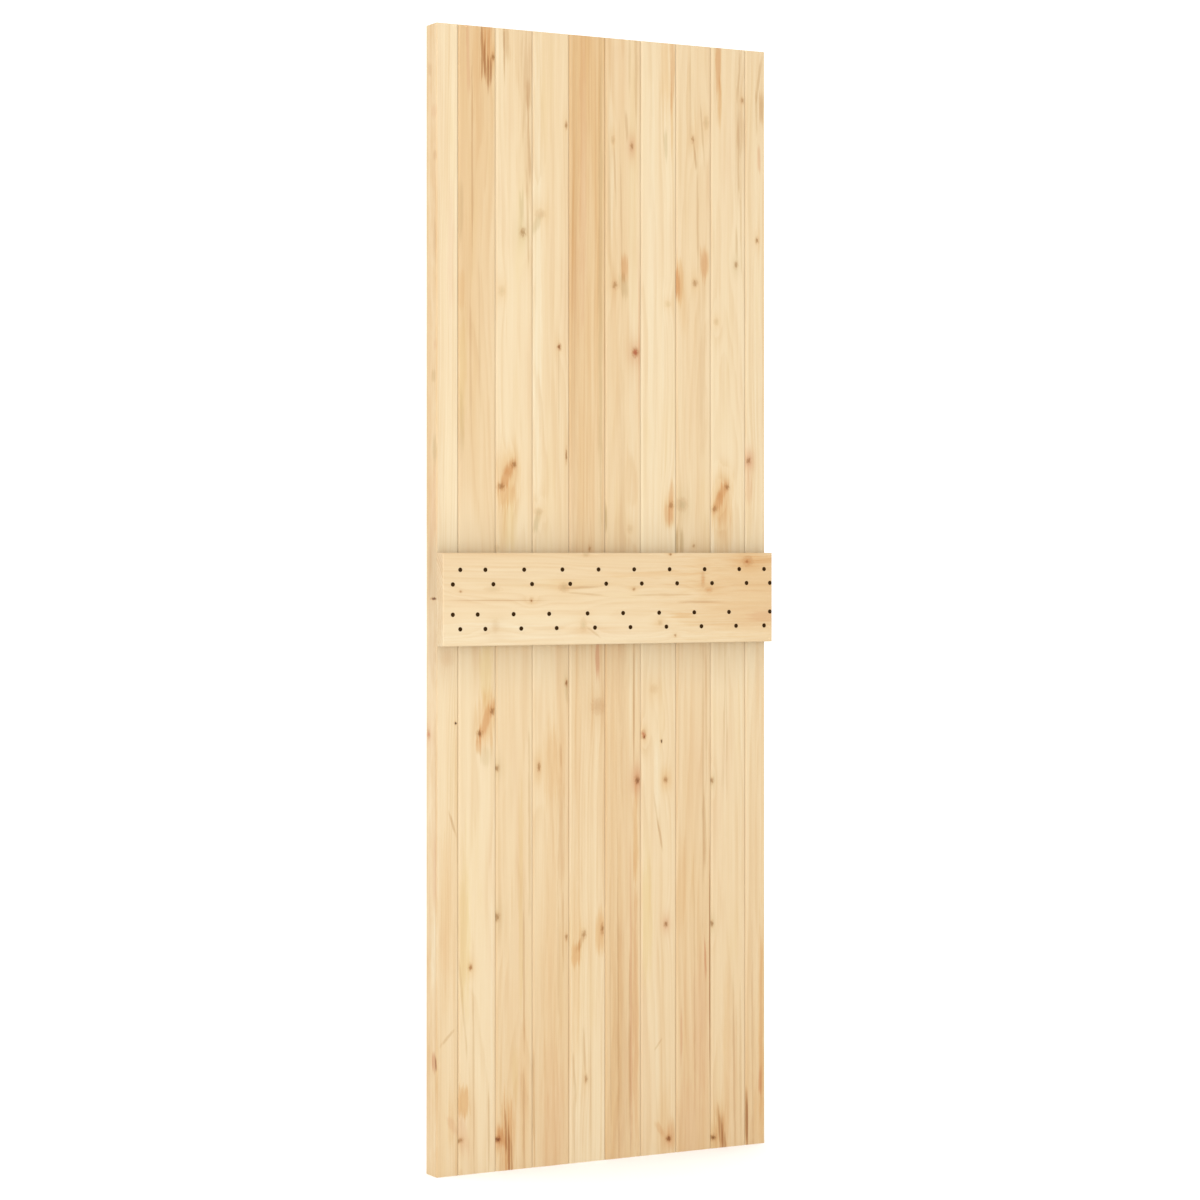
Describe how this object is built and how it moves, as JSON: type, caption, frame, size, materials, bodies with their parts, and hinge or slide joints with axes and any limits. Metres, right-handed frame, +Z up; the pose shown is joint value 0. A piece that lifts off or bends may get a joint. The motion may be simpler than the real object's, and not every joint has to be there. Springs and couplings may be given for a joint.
{
  "type": "wooden sliding door leaf",
  "caption": "Flat sliding door leaf of full-height tongue-and-groove pine boards, joined across the front by one broad crosspiece fixed with dark countersunk screws.",
  "frame": {"origin": "middle of the top edge, halfway through the boards' thickness, where the leaf hangs", "axes": "+Z up along the boards, -Y out of the front that carries the crosspiece, +X to the right of a person who faces that front"},
  "size_m": [0.7, 0.071, 2.1],
  "materials": {
    "pine_boards": "planed pine, matt clear finish, upright grain with small knots",
    "pine_crosspiece": "planed pine, matt clear finish, level grain",
    "dark_screws": "black phosphate coated steel, satin"
  },
  "bodies": {
    "root": {"board_01": "pine_boards", "board_02": "pine_boards", "board_03": "pine_boards", "board_04": "pine_boards", "board_05": "pine_boards", "board_06": "pine_boards", "board_07": "pine_boards", "board_08": "pine_boards", "board_09": "pine_boards", "board_10": "pine_boards", "crosspiece": "pine_crosspiece", "screws_board_01": "dark_screws", "screws_board_02": "dark_screws", "screws_board_03": "dark_screws", "screws_board_04": "dark_screws", "screws_board_05": "dark_screws", "screws_board_06": "dark_screws", "screws_board_07": "dark_screws", "screws_board_08": "dark_screws", "screws_board_09": "dark_screws", "screws_board_10": "dark_screws"}
  },
  "joints": []
}
